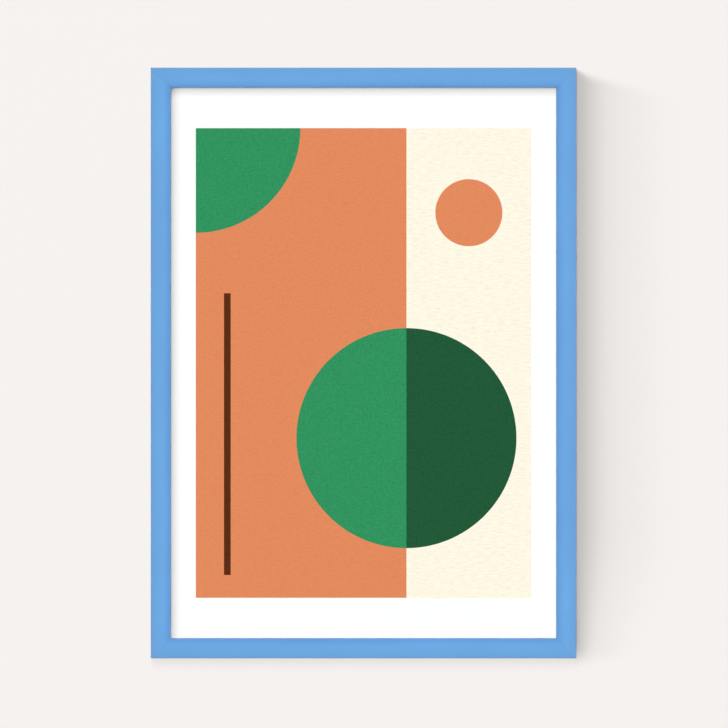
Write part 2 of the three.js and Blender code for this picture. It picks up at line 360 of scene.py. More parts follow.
def makeGlass():
    # clear coated picture glass; lamps and the light off the print pass it straight
    f = glassFinish
    sockets = {"Transmission Weight": 1.0, "Roughness": 0.0, "IOR": f["bends"]}
    material, tree, shader = newMaterial("pictureGlass", sockets)
    cast = stretchedNoise(tree, objectCoords(tree), (8, 8, 8))
    tint = scaled(tree, f["tint"], calc(tree, "MULTIPLY_ADD", cast, 0.01, 0.985))
    facing = addNode(tree, "ShaderNodeLayerWeight").outputs["Facing"]
    mirror = remap(tree, facing, 0.3, 0.9, f["mirrorHeadOn"], 1.0)
    feed(tree, shader, {"Base Color": tint, "Specular Tint": mirror})
    path = addNode(tree, "ShaderNodeLightPath").outputs
    straight = calc(tree, "MAXIMUM", path["Is Shadow Ray"], path["Is Diffuse Ray"])
    clear = made(tree, "ShaderNodeBsdfTransparent", {"Color": f["passes"]})
    mixed = made(tree, "ShaderNodeMixShader", {0: straight, 1: shader.outputs[0], 2: clear})
    feed(tree, tree.nodes["Material Output"], {"Surface": mixed})
    return material


boardFinish = {
    "pale": "#b08d62",
    "dark": "#8d6a45",
    "scuff": "#c4a47b",
    "scuffRing": 0.82,  # where the clips rub the board, as a share of their reach
    "scuffHalf": 3.2 * mm,  # half the width of the rubbed ring
    "roughness": 0.78,
    "flecks": (1300, 1300, 1300),  # cells per metre
    "blotches": (26, 26, 18),
    "scuffPatches": (90, 90, 90),
}


def makeFibreboard(pivots, tipReach):
    # raw fibreboard with a short-fibred fleck, rubbed pale where the clips swing
    f = boardFinish
    material, tree, shader = newMaterial("rawFibreboard", {"Specular IOR Level": 0.25})
    coords = objectCoords(tree)
    flecks = stretchedNoise(tree, coords, f["flecks"], 5.0, 0.75)
    values = {"Vector": coords, "Scale": 420.0, "Detail": 3.0, "Roughness": 0.6, "Distortion": 2.2}
    fibres = calc(tree, "SUBTRACT", made(tree, "ShaderNodeTexNoise", values), 0.5)
    blotches = stretchedNoise(tree, coords, f["blotches"], 3.0, 0.55)
    tone = calc(tree, "ADD", calc(tree, "MULTIPLY", flecks, 1.1), calc(tree, "MULTIPLY", fibres, 0.7))
    tone = calc(tree, "MULTIPLY_ADD", blotches, 0.5, tone)
    colour = mixColour(tree, remap(tree, tone, -0.4, 0.4), linear(f["dark"]), linear(f["pale"]))

    # the clips lie alike in all four quarters, so the distances are taken in one
    centred = vectorMath(tree, "SUBTRACT", coords, tuple(outerCentre))
    flat = vectorMath(tree, "MULTIPLY", vectorMath(tree, "ABSOLUTE", centred), (1, 0, 1))
    wear = 0.0
    for x, z in pivots:
        away = vectorMath(tree, "DISTANCE", flat, (x, 0, z), "Value")
        ring = calc(tree, "ABSOLUTE", calc(tree, "SUBTRACT", away, tipReach * f["scuffRing"]))
        wear = calc(tree, "ADD", wear, remap(tree, ring, f["scuffHalf"], 0.4 * mm, 0.0, 0.35))
    patches = stretchedNoise(tree, coords, f["scuffPatches"], 1.0)
    wear = calc(tree, "MULTIPLY", wear, remap(tree, patches, -0.1, 0.12))
    wear = calc(tree, "MULTIPLY", wear, remap(tree, fibres, -0.2, 0.25))
    colour = mixColour(tree, wear, colour, linear(f["scuff"]))
    rough = calc(tree, "MULTIPLY_ADD", flecks, 0.2, f["roughness"])
    feed(tree, shader, {"Base Color": colour, "Roughness": rough})
    addBump(tree, shader, calc(tree, "ADD", flecks, fibres), 0.1 * mm, 0.5)
    return material


metals = {
    "zincPlate": {"Metal": "#c3c6ca", "Roughness": 0.3, "Streaks": 0.3},
    "brassPlate": {"Metal": "#c9a45c", "Roughness": 0.26, "Streaks": 0.15},
}


def makeMetal(name):
    material, tree, shader = newMaterial(name, {"Metallic": 1.0})
    plated = useGroup(tree, platedMetal, dict(metals[name], Metal=linear(metals[name]["Metal"])))
    feed(tree, shader, {"Base Color": plated["Color"], "Roughness": plated["Roughness"]})
    addBump(tree, shader, plated["Height"], 0.02 * mm, 0.35)
    return material


zincPlate = makeMetal("zincPlate")
brassPlate = makeMetal("brassPlate")
pictureGlass = makeGlass()
print("materials made")


# meshes made from flat outlines


def arcPoints(centre, radius, start, end, steps):
    # points along an arc; angles in degrees, turning from the first axis to the second
    angles = [math.radians(start + (end - start) * i / steps) for i in range(steps + 1)]
    return [(centre[0] + radius * math.cos(a), centre[1] + radius * math.sin(a)) for a in angles]


def rectanglePoints(left, low, right, high):
    return [(left, low), (right, low), (right, high), (left, high)]


def holds(outline, x, z):
    # True if the point lies in the outline
    inside = False
    for (ax, az), (bx, bz) in zip(outline, outline[1:] + outline[:1]):
        if (az > z) != (bz > z) and x < ax + (z - az) / (bz - az) * (bx - ax):
            inside = not inside
    return inside


def rimDistance(outlines, point):
    # how far a point is from the nearest outline
    best = math.inf
    for outline in outlines:
        for a, b in zip(outline, outline[1:] + outline[:1]):
            a, b = Vector(a), Vector(b)
            along = max(0.0, min(1.0, (point - a).dot(b - a) / (b - a).length_squared))
            best = min(best, (point - a - along * (b - a)).length)
    return best


def insetOutline(outline, distance):
    # the outline moved to its left by distance, which is inwards for a counterclockwise one
    moved = []
    for before, here, after in zip(outline[-1:] + outline[:-1], outline, outline[1:] + outline[:1]):
        first = (Vector(here) - Vector(before)).normalized()
        second = (Vector(after) - Vector(here)).normalized()
        normal = Vector((-first.y - second.y, first.x + second.x)).normalized()
        stretch = distance / max(0.5, normal.dot(Vector((-first.y, first.x))))
        moved.append(tuple(Vector(here) + normal * stretch))
    return moved


def meshFrom(build, name):
    mesh = bpy.data.meshes.new(name)
    build.to_mesh(mesh)
    build.free()
    return mesh


def middleOf(points, corners):
    return sum((points[i] for i in corners), Vector((0, 0))) / len(corners)


def triangulated(loops, lines=()):
    # flat triangles that keep every loop and line as edges
    points, edges = [], []
    for loop in loops:
        start = len(points)
        points += [Vector(p) for p in loop]
        edges += [(start + i, start + (i + 1) % len(loop)) for i in range(len(loop))]
    for line in lines:
        edges.append((len(points), len(points) + 1))
        points += [Vector(p) for p in line]
    joined = delaunay_2d_cdt(points, edges, [], 0, 1e-5)
    return joined[0], joined[2]


def sheetMesh(name, flatPoints, triangles, front, back, inkOf=None):
    # a closed sheet: front and back give the depth of each flat point, and a wall joins their rims
    mesh = bmesh.new()
    fronts = [mesh.verts.new((p.x, front(p), p.y)) for p in flatPoints]
    backs = [mesh.verts.new((p.x, back(p), p.y)) for p in flatPoints]
    rim = {}
    for triangle in triangles:
        face = mesh.faces.new([fronts[i] for i in triangle])
        mesh.faces.new([backs[i] for i in reversed(triangle)])
        if inkOf:
            face.material_index = inkOf(middleOf(flatPoints, triangle))
        for a, b in zip(triangle, triangle[1:] + triangle[:1]):
            if (b, a) in rim:
                del rim[(b, a)]
            else:
                rim[(a, b)] = True
    for a, b in rim:
        mesh.faces.new([fronts[b], fronts[a], backs[a], backs[b]])
    bmesh.ops.delete(mesh, geom=[v for v in mesh.verts if not v.link_faces], context="VERTS")
    bmesh.ops.scale(mesh, vec=(mm, mm, mm), verts=mesh.verts)
    bmesh.ops.recalc_face_normals(mesh, faces=mesh.faces)
    return meshFrom(mesh, name)


def stampedSheet(name, outlines, thickness, edgeRound, lift, lines=(), steps=3):
    # sheet metal cut to the outlines, first the rim and then the holes, with its edges rounded
    rings = [edgeRound * (1 - math.cos(math.pi / 2 * i / steps)) for i in range(1, steps + 1)]
    loops = list(outlines) + [insetOutline(outline, r) for outline in outlines for r in rings]
    points, triangles = triangulated(loops, lines)
    kept = []
    for triangle in triangles:
        spot = middleOf(points, triangle)
        if holds(outlines[0], *spot) and not any(holds(hole, *spot) for hole in outlines[1:]):
            kept.append(list(triangle))
    drops = {}
    for i in {i for triangle in kept for i in triangle}:
        gap = max(0.0, edgeRound - rimDistance(outlines, points[i]))
        drops[tuple(points[i])] = edgeRound - math.sqrt(max(0.0, edgeRound**2 - gap**2))

    def front(p):
        return lift(p) + drops.get(tuple(p), 0.0)

    def back(p):
        return lift(p) + thickness - drops.get(tuple(p), 0.0)

    return sheetMesh(name, points, kept, front, back)


def newPiece(name, mesh):
    piece = bpy.data.objects.new(name, mesh)
    scene.collection.objects.link(piece)
    return piece


def smoothShaded(mesh, sharpAngle=34):
    # edges steeper than the angle in degrees stay sharp; each corner leans to the larger faces
    # beside it, so flat sides stay flat next to a rounding
    mesh.shade_smooth()
    limit = math.cos(math.radians(sharpAngle))
    faces = [(face.normal.copy(), face.area) for face in mesh.polygons]
    around = [[] for vertex in mesh.vertices]
    for face in mesh.polygons:
        for vertex in face.vertices:
            around[vertex].append(faces[face.index])
    normals = []
    for face in mesh.polygons:
        own = face.normal
        for vertex in face.vertices:
            near = [normal * area for normal, area in around[vertex] if normal.dot(own) > limit]
            total = sum(near, Vector())
            normals.append((total or own).normalized())
    mesh.normals_split_custom_set(normals)


def grown(tree, name, base, values):
    # the mesh that a geometry tree makes of a base mesh
    piece = newPiece(name, base)
    modifier = piece.modifiers.new("grow", "NODES")
    modifier.node_group = tree
    for item in tree.interface.items_tree:
        if item.item_type == "SOCKET" and item.in_out == "INPUT" and item.name in values:
            modifier[item.identifier] = values[item.name]
    view = bpy.context.evaluated_depsgraph_get()
    mesh = bpy.data.meshes.new_from_object(piece.evaluated_get(view), depsgraph=view)
    piece.modifiers.remove(modifier)
    piece.data = mesh
    mesh.name = name
    return piece


def placedAt(tree, geometry, corner, turn):
    # turned about y, then moved to its corner
    rotation = made(tree, "ShaderNodeCombineXYZ", {"Y": turn})
    placing = {"Geometry": geometry, "Translation": corner, "Rotation": rotation}
    return made(tree, "GeometryNodeTransform", placing)


def finishTree(tree, geometry, given, result):
    real = made(tree, "GeometryNodeRealizeInstances", {0: geometry})
    values = {"Geometry": real, "Material": given["Material"]}
    painted = made(tree, "GeometryNodeSetMaterial", values)
    feed(tree, result, {"Geometry": painted})


# the frame: four mitred rails swept from one section

railSizes = {
    "face": 15 * mm,
    "rebate": 6 * mm,
    "lip": 3 * mm,
    "crown": 0.5 * mm,
    "roundOuter": 1.5 * mm,
    "roundInner": 2 * mm,
    "roundBack": 0.6 * mm,
    "grooveFront": 9 * mm,
    "grooveWidth": 2.2 * mm,
    "grooveDepth": 3.2 * mm,
    "seam": 0.05 * mm,  # left open between two rails
    "arcSteps": 10,
    "crownSteps": 20,
    "nailSlot": 0.12 * mm,  # clearance round a V-nail
    "slotPast": 2 * mm,  # how far the cutter of its slot runs out of the wood
}


def railOutline():
    # section of a rail: first axis inwards from the outer side, second from the front to the wall
    s = railSizes
    half = s["face"] / 2
    depth = outerSize.y
    rim = s["face"] - s["rebate"]
    crownRadius = (half**2 + s["crown"] ** 2) / (2 * s["crown"])

    def cornerArc(radius):
        inner = crownRadius - radius
        lean = math.degrees(math.asin((half - radius) / inner))
        return crownRadius - math.sqrt(inner**2 - (half - radius) ** 2), lean

    outerDepth, leanOuter = cornerArc(s["roundOuter"])
    innerDepth, leanInner = cornerArc(s["roundInner"])
    steps = s["arcSteps"]
    grooveBack, bottom = s["grooveFront"] + s["grooveWidth"], rim - s["grooveDepth"]
    back = s["roundBack"]
    points = arcPoints((s["roundOuter"], outerDepth), s["roundOuter"], 180, 270 - leanOuter, steps)
    crown = arcPoints((half, crownRadius), crownRadius, 270 - leanOuter, 270 + leanInner, s["crownSteps"])
    points += crown[1:]
    sight = (s["face"] - s["roundInner"], innerDepth)
    points += arcPoints(sight, s["roundInner"], 270 + leanInner, 360, steps)[1:]
    points += [(s["face"], s["lip"]), (rim, s["lip"]), (rim, s["grooveFront"])]
    points += [(bottom, s["grooveFront"]), (bottom, grooveBack), (rim, grooveBack)]
    points += arcPoints((rim - back, depth - back), back, 0, 90, steps // 2)
    points += arcPoints((back, depth - back), back, 90, 180, steps // 2)
    return points


def outlineMesh(name, points):
    mesh = bpy.data.meshes.new(name)
    edges = [(i, (i + 1) % len(points)) for i in range(len(points))]
    mesh.from_pydata([(x, y, 0.0) for x, y in points], edges, [])
    return mesh


def railTree():
    inputs = {
        "Geometry": "Geometry",
        "Nail slots": "Object",
        "Length": 0.4,
        "Seam": 0.0001,
        "Corner": "Vector",
        "Turn": 0.0,
        "Material": "Material",
    }
    tree, given, result = newGroup("mitredRail", "GeometryNodeTree", inputs, {"Geometry": "Geometry"})
    section = made(tree, "GeometryNodeMeshToCurve", {0: given["Geometry"]})
    end = made(tree, "ShaderNodeCombineXYZ", {"Z": given["Length"]})
    path = made(tree, "GeometryNodeCurvePrimitiveLine", {"End": end})
    swept = made(tree, "GeometryNodeCurveToMesh", {0: path, 1: section, "Fill Caps": True})

    # each end leans back by as much as a point lies inwards
    place = made(tree, "GeometryNodeInputPosition")
    at = addNode(tree, "ShaderNodeSeparateXYZ", {0: place}).outputs
    start = calc(tree, "MULTIPLY_ADD", given["Seam"], math.sqrt(0.5), at["X"])
    farEnd = calc(tree, "SUBTRACT", given["Length"], start)
    beyond = calc(tree, "GREATER_THAN", at["Z"], calc(tree, "MULTIPLY", given["Length"], 0.5))
    along = mixNumber(tree, beyond, start, farEnd)
    mitred = made(tree, "ShaderNodeCombineXYZ", {"X": at["X"], "Y": at["Y"], "Z": along})
    shaped = made(tree, "GeometryNodeSetPosition", {"Geometry": swept, "Position": mitred})

    slots = addNode(tree, "GeometryNodeObjectInfo", {"Object": given["Nail slots"]}).outputs["Geometry"]
    solids = {"Mesh 1": shaped, "Mesh 2": slots}
    cut = made(tree, "GeometryNodeMeshBoolean", solids, operation="DIFFERENCE")
    remember = {"Geometry": cut, "Name": "railCoord", "Value": place}
    kept = made(tree, "GeometryNodeStoreNamedAttribute", remember, data_type="FLOAT_VECTOR")
    finishTree(tree, placedAt(tree, kept, given["Corner"], given["Turn"]), given, result)
    return tree


def slotCutters(name, length):
    # the two V-nail slots of a rail, in the rail's own frame, taken from the CAD nail's shape
    nail = frame["nodes"]["v_nail_lower_left"].data
    grow = railSizes["nailSlot"]
    mesh = bmesh.new()
    for atEnd in (False, True):
        part = bmesh.new()
        part.from_mesh(nail)
        bmesh.ops.remove_doubles(part, verts=part.verts, dist=0.001 * mm)
        bmesh.ops.translate(part, vec=-outerLow, verts=part.verts)
        part.normal_update()
        for vert in part.verts:
            vert.co = vert.co + Vector((vert.normal.x, 0, vert.normal.z)).normalized() * grow
            vert.co.y += railSizes["slotPast"] if vert.normal.y > 0 else -grow
        if atEnd:
            flip = Matrix(((1, 0, 0, 0), (0, 1, 0, 0), (0, 0, -1, length), (0, 0, 0, 1)))
            bmesh.ops.transform(part, matrix=flip, verts=part.verts)
            bmesh.ops.reverse_faces(part, faces=part.faces)
        half = meshFrom(part, name + "Half")
        mesh.from_mesh(half)
        bpy.data.meshes.remove(half)
    return bpy.data.objects.new(name, meshFrom(mesh, name))


def makeRails():
    tree = railTree()
    lacquer = makeLacquer(railSizes)
    front, low, high = outerLow.y, outerLow.z, outerHigh.z
    left, right = outerLow.x, outerHigh.x
    rails = {
        "railLeft": ("rail_left", outerSize.z, (left, front, low)),
        "railTop": ("rail_top", outerSize.x, (left, front, high)),
        "railRight": ("rail_right", outerSize.z, (right, front, high)),
        "railBottom": ("rail_bottom", outerSize.x, (right, front, low)),
    }
    for turn, (name, (node, length, corner)) in enumerate(rails.items()):
        cutters = slotCutters(name + "Slots", length)
        values = {
            "Nail slots": cutters,
            "Length": length,
            "Seam": railSizes["seam"],
            "Corner": corner,
            "Turn": turn * math.pi / 2,
            "Material": lacquer,
        }
        piece = grown(tree, name, outlineMesh(name + "Section", railOutline()), values)
        bpy.data.objects.remove(cutters)
        smoothShaded(piece.data)
        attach(piece, "frame")
        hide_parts(node)


makeRails()
print("rails made")


# the print and its glass; the design is in millimetres

design = {
    "fieldWidth": 250,
    "fieldHeight": 350,
    "split": 32,  # where the clay ground meets the cream one
    "disc": {"centre": (32, -56), "radius": 82, "steps": 144},
    "quarter": {"radius": 78, "steps": 48},
    "dot": {"height": 112, "radius": 25, "steps": 72},
    "bar": {"left": -104, "low": -158, "width": 5, "height": 210},
}


def designShapes():
    # flat shapes in millimetres from the middle of the sheet; a later one covers those before it
    d = design
    x, z = d["fieldWidth"] / 2, d["fieldHeight"] / 2
    disc, corner, dot, bar = d["disc"], d["quarter"], d["dot"], d["bar"]
    dotCentre = ((d["split"] + x) / 2, dot["height"])
    barEnds = (bar["left"], bar["low"], bar["left"] + bar["width"], bar["low"] + bar["height"])
    return [
        ("clay", rectanglePoints(-x, -z, x, z)),
        ("cream", rectanglePoints(d["split"], -z, x, z)),
        ("fern", arcPoints(disc["centre"], disc["radius"], 90, 270, disc["steps"] // 2)),
        ("pine", arcPoints(disc["centre"], disc["radius"], -90, 90, disc["steps"] // 2)),
        ("fern", [(-x, z)] + arcPoints((-x, z), corner["radius"], -90, 0, corner["steps"])),
        ("clay", arcPoints(dotCentre, dot["radius"], 0, 360, dot["steps"])[:-1]),
        ("umber", rectanglePoints(*barEnds)),
    ]


def makePrint():
    low, high = (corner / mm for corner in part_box("art_print"))
    middle = (low.z + high.z) / 2
    shapes = designShapes()
    border = rectanglePoints(low.x, low.z - middle, high.x, high.z - middle)
    points, triangles = triangulated([border] + [outline for ink, outline in shapes])
    order = list(inks)

    def inkOf(spot):
        covering = [ink for ink, outline in shapes if holds(outline, *spot)]
        return order.index(covering[-1] if covering else "paper")

    faces = [list(triangle) for triangle in triangles]
    mesh = sheetMesh("artPrint", points, faces, lambda p: low.y, lambda p: high.y, inkOf)
    mesh.transform(Matrix.Translation((0, 0, middle * mm)))
    for ink in inks:
        mesh.materials.append(makeInk(ink))
    piece = newPiece("artPrint", mesh)
    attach(piece, "frame")
    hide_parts("art_print")


def makeGlazing():
    low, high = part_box("glazing")
    mesh = bmesh.new()
    bmesh.ops.create_cube(mesh, size=1.0)
    bmesh.ops.scale(mesh, vec=high - low, verts=mesh.verts)
    bmesh.ops.translate(mesh, vec=(low + high) / 2, verts=mesh.verts)
    bmesh.ops.bevel(mesh, geom=mesh.edges, offset=glassFinish["arris"], segments=1, affect="EDGES")
    pane = meshFrom(mesh, "glassPane")
    pane.materials.append(pictureGlass)
    piece = newPiece("glassPane", pane)
    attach(piece, "frame")
    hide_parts("glazing")


makePrint()
makeGlazing()
print("print and glass made")


# the back: turn clips, rivets, hanger, board and V-nails, in millimetres

stampedSteps = {"end": 28, "hole": 36, "rib": 12}  # round the ends, holes and ribs of the sheet metal
clipSizes = {
    "thickness": 0.8,
    "width": 10,
    "reach": 14,  # pivot to the middle of the round tip
    "hole": 1.8,
    "edgeRound": 0.14,
    "rib": {"start": 6.2, "end": 14, "halfWidth": 2.1, "slope": 0.9, "height": 0.32, "rings": 5},
}
rivetSizes = {
    "shank": 1.5,  # radii
    "head": 3.4,
    "foot": 2.9,
    "dimple": 0.9,
    "dome": 1.1,  # heights
    "footDepth": 0.5,
    "sunk": 0.3,
    "ease": 0.15,
    "sides": 40,
    "domeSteps": 12,
    "smoothTo": 50,  # degrees between faces that still look like one curve
}
hangerSizes = {
    "length": 46,
    "height": 10,
    "thickness": 0.8,
    "raised": 21,
    "stepLength": 2.5,
    "stepHeight": 2.4,
    "rivetSpread": 18,
    "hole": 1.8,
    "toothPitch": 3,
    "toothDepth": 1.6,
    "toothFlat": 0.4,
    "notches": 7,
    "edgeRound": 0.12,
    "bendSteps": 10,
}


def smoothStep(value):
    value = max(0.0, min(1.0, value))
    return value * value * (3 - 2 * value)


def stadium(centreLow, centreHigh, radius, steps):
    # an upright slot shape, counterclockwise
    lower = arcPoints((0, centreLow), radius, 180, 360, steps)
    return lower + arcPoints((0, centreHigh), radius, 0, 180, steps)


def clipBlank():
    s, rib = clipSizes, clipSizes["rib"]
    outline = stadium(0, s["reach"], s["width"] / 2, stampedSteps["end"])
    hole = arcPoints((0, 0), s["hole"], 360, 0, stampedSteps["hole"])[:-1]

    def lift(p):
        # a pressed rib stiffens the tongue
        along = max(rib["start"], min(rib["end"], p.y))
        away = math.hypot(p.x, p.y - along)
        return rib["height"] * smoothStep((rib["halfWidth"] - away) / rib["slope"])

    lines = []  # rings down the slope of the rib, so that it has faces to bend
    for k in range(rib["rings"]):
        inset = rib["slope"] * k / (rib["rings"] - 1)
        ring = stadium(rib["start"], rib["end"], rib["halfWidth"] - inset, stampedSteps["rib"])
        lines += zip(ring, ring[1:] + ring[:1])
    blank = stampedSheet("clipBlank", [outline, hole], s["thickness"], s["edgeRound"], lift, lines)
    smoothShaded(blank)
    return blank


def clipTree():
    inputs = {"Geometry": "Geometry", "Pivot": "Vector", "Turn": 0.0, "Material": "Material"}
    tree, given, result = newGroup("turnClip", "GeometryNodeTree", inputs, {"Geometry": "Geometry"})
    placed = placedAt(tree, given["Geometry"], given["Pivot"], given["Turn"])
    finishTree(tree, placed, given, result)
    return tree


def makeClips():
    tree, blank = clipTree(), clipBlank()
    for joint in frame["joints"]:
        body = joint["child"]
        node = "turn_" + body
        low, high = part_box(node)
        pivot = Vector(joint["pos_m"])
        pivot.y = low.y
        tongue = (low + high) / 2 - pivot
        words = node.split("_")
        name = words[0] + "".join(word.capitalize() for word in words[1:])
        values = {
            "Pivot": tuple(pivot),
            "Turn": math.atan2(tongue.x, tongue.z),
            "Material": zincPlate,
        }
        piece = grown(tree, name, blank.copy(), values)
        smoothShaded(piece.data)
        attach(piece, body)
        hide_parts(node)


def rivetBlank():
    # turned about y; the foot is in the board and the domed head has a small dimple
    s = rivetSizes
    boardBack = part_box("backing_board")[1].y / mm
    low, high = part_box("clip_rivet_top_left")
    foot, headLow = low.y / mm - boardBack, high.y / mm - s["dome"] - boardBack
    ease, neck = s["ease"], foot + s["footDepth"]
    profile = [(0, foot), (s["foot"] - ease, foot), (s["foot"], foot + ease), (s["foot"], neck)]
    profile += [(s["shank"], neck), (s["shank"], headLow)]
    profile += [(s["head"] - ease, headLow), (s["head"], headLow + ease)]
    for i in range(1, s["domeSteps"] + 1):
        angle = math.pi / 2 * i / s["domeSteps"]
        radius = s["head"] * math.cos(angle) if i < s["domeSteps"] else 0
        sunk = s["sunk"] * smoothStep(1 - radius / s["dimple"]) if radius < s["dimple"] else 0.0
        height = ease + (s["dome"] - ease) * math.sin(angle) - sunk
        profile.append((radius, headLow + height))
    mesh = bmesh.new()
    rings = []
    for radius, depth in profile:
        sides = s["sides"] if radius else 1
        turns = [2 * math.pi * k / s["sides"] for k in range(sides)]
        rings.append([mesh.verts.new((radius * math.cos(a), depth, radius * math.sin(a))) for a in turns])
    for near, far in zip(rings, rings[1:]):
        for k in range(s["sides"]):
            corners = [near[k % len(near)], near[(k + 1) % len(near)]]
            corners += [far[(k + 1) % len(far)], far[k % len(far)]]
            mesh.faces.new(list(dict.fromkeys(corners)))
    bmesh.ops.scale(mesh, vec=(mm, mm, mm), verts=mesh.verts)
    bmesh.ops.recalc_face_normals(mesh, faces=mesh.faces)
    return bpy.data.objects.new("rivetBlank", meshFrom(mesh, "rivetBlank"))


def rivetTree():
    inputs = {"Geometry": "Geometry", "Rivet": "Object", "Material": "Material"}
    tree, given, result = newGroup("rivetsOnPoints", "GeometryNodeTree", inputs, {"Geometry": "Geometry"})
    rivet = addNode(tree, "GeometryNodeObjectInfo", {"Object": given["Rivet"]}).outputs["Geometry"]
    spread = addNode(tree, "GeometryNodeInstanceOnPoints", {"Points": given["Geometry"], "Instance": rivet})
    finishTree(tree, spread.outputs[0], given, result)
    return tree


def makeRivets():
    tree = rivetTree()
    blank = rivetBlank()
    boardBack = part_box("backing_board")[1].y
    for name, prefix in (("clipRivets", "clip_rivet_"), ("hangerRivets", "hanger_rivet_")):
        nodes = sorted(node for node in frame["nodes"] if node.startswith(prefix))
        middles = [sum(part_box(node), Vector()) / 2 for node in nodes]
        places = bpy.data.meshes.new(name + "Places")
        places.from_pydata([(m.x, boardBack, m.z) for m in middles], [], [])
        piece = grown(tree, name, places, {"Rivet": blank, "Material": brassPlate})
        smoothShaded(piece.data, rivetSizes["smoothTo"])
        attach(piece, "frame")
        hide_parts(*nodes)
    bpy.data.objects.remove(blank)


def makeHanger():
    s = hangerSizes
    radius = s["height"] / 2
    low, high = -s["toothDepth"], s["height"] - s["toothDepth"]
    axis = (low + high) / 2
    end = s["length"] / 2 - radius
    outline = [(-end, low)]
    halfNotch = (s["toothPitch"] - s["toothFlat"]) / 2
    for i in range(s["notches"]):
        x = (i - (s["notches"] - 1) / 2) * s["toothPitch"]
        outline += [(x - halfNotch, low), (x, 0), (x + halfNotch, low)]
    outline += arcPoints((end, axis), radius, -90, 90, stampedSteps["end"])
    outline += arcPoints((-end, axis), radius, 90, 270, stampedSteps["end"])[:-1]
    spots = (-s["rivetSpread"], s["rivetSpread"])
    holes = [arcPoints((x, axis), s["hole"], 360, 0, stampedSteps["hole"])[:-1] for x in spots]

    def lift(p):
        # flat feet, and a middle that stands off the board
        foot = s["raised"] / 2 + s["stepLength"]
        return s["stepHeight"] * smoothStep((foot - abs(p.x)) / s["stepLength"])

    steps = s["bendSteps"]
    bends = [s["raised"] / 2 + s["stepLength"] * k / steps for k in range(steps + 1)]
    lines = [((side * x, low), (side * x, high)) for x in bends for side in (-1, 1)]
    mesh = stampedSheet("sawtoothHanger", [outline] + holes, s["thickness"], s["edgeRound"], lift, lines)
    mesh.transform(Matrix.Translation((0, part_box("sawtooth_hanger")[0].y, 0)))
    mesh.materials.append(zincPlate)
    smoothShaded(mesh)
    piece = newPiece("sawtoothHanger", mesh)
    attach(piece, "frame")
    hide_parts("sawtooth_hanger")


def dressCadNodes():
    away = [Vector(joint["pos_m"]) - outerCentre for joint in frame["joints"]]
    pivots = {(round(abs(v.x), 4), round(abs(v.z), 4)) for v in away}
    reach = (clipSizes["reach"] + clipSizes["width"] / 2) * mm
    finishes = {"backing_board": makeFibreboard(sorted(pivots), reach)}
    for node in frame["nodes"]:
        if node.startswith("v_nail"):
            finishes[node] = zincPlate
    for node, material in finishes.items():
        shown = frame["nodes"][node]
        shown.data.materials.clear()
        shown.data.materials.append(material)


makeClips()
makeRivets()
makeHanger()
dressCadNodes()
print("back made")


# camera, stage and light

shot = {
    "pixels": 728,
    "frameWidth": 425.6,  # pixels
    "frameCentre": (363.52, 362.98),
    "lens": 400,
    "sensor": 36,
    "clipEnd": 50,
}


def makeCamera():
    camera = bpy.data.objects.new("camera", bpy.data.cameras.new("camera"))
    scene.collection.objects.link(camera)
    camera.data.lens = shot["lens"]
    camera.data.sensor_width = shot["sensor"]
    pixel = outerSize.x / shot["frameWidth"]
    distance = shot["pixels"] * pixel * shot["lens"] / shot["sensor"]
    aimX = outerCentre.x + (shot["pixels"] / 2 - shot["frameCentre"][0]) * pixel
    aimZ = outerCentre.z - (shot["pixels"] / 2 - shot["frameCentre"][1]) * pixel
    silhouette = outerLow.y + railSizes["roundOuter"]
    camera.location = (aimX, silhouette - distance, aimZ)
    camera.rotation_euler = (math.pi / 2, 0, 0)
    camera.data.clip_end = shot["clipEnd"]
    scene.camera = camera


backdrops = {
    "wallGap": 0.3 * mm,
    "wallWidth": 14,
    "wallHeight": 9,
    "floorDrop": 1.5,
    "wallPaint": "#e9e5e3",
    "floorPaint": "#e6e3e0",
}
shadowCard = {
    "inset": 0.2 * mm,  # how deep it lies in the right rail's side
    # height over the foot of the frame and width there, in mm, down to the tip and back up to the wall
    "narrowing": [(106, 21), (44, 14), (14, 11), (2, 4.5), (-5, 2.2), (10, 0)],
}


def backdrop(name, corners, material):
    mesh = bpy.data.meshes.new(name)
    mesh.from_pydata(corners, [], [tuple(range(len(corners)))])
    mesh.materials.append(material)
    piece = newPiece(name, mesh)
    return piece


def oneSidedPaint(name):
    # seen from its front alone, so the back of the frame can be looked at through the wall
    material, tree, shader = newMaterial(name, {"Roughness": 1.0, "Specular IOR Level": 0.0})
    shader.inputs["Base Color"].default_value = linear(backdrops[name])
    behind = addNode(tree, "ShaderNodeNewGeometry").outputs["Backfacing"]
    clear = made(tree, "ShaderNodeBsdfTransparent")
    mixed = made(tree, "ShaderNodeMixShader", {0: behind, 1: shader.outputs[0], 2: clear})
    feed(tree, tree.nodes["Material Output"], {"Surface": mixed})
    return material


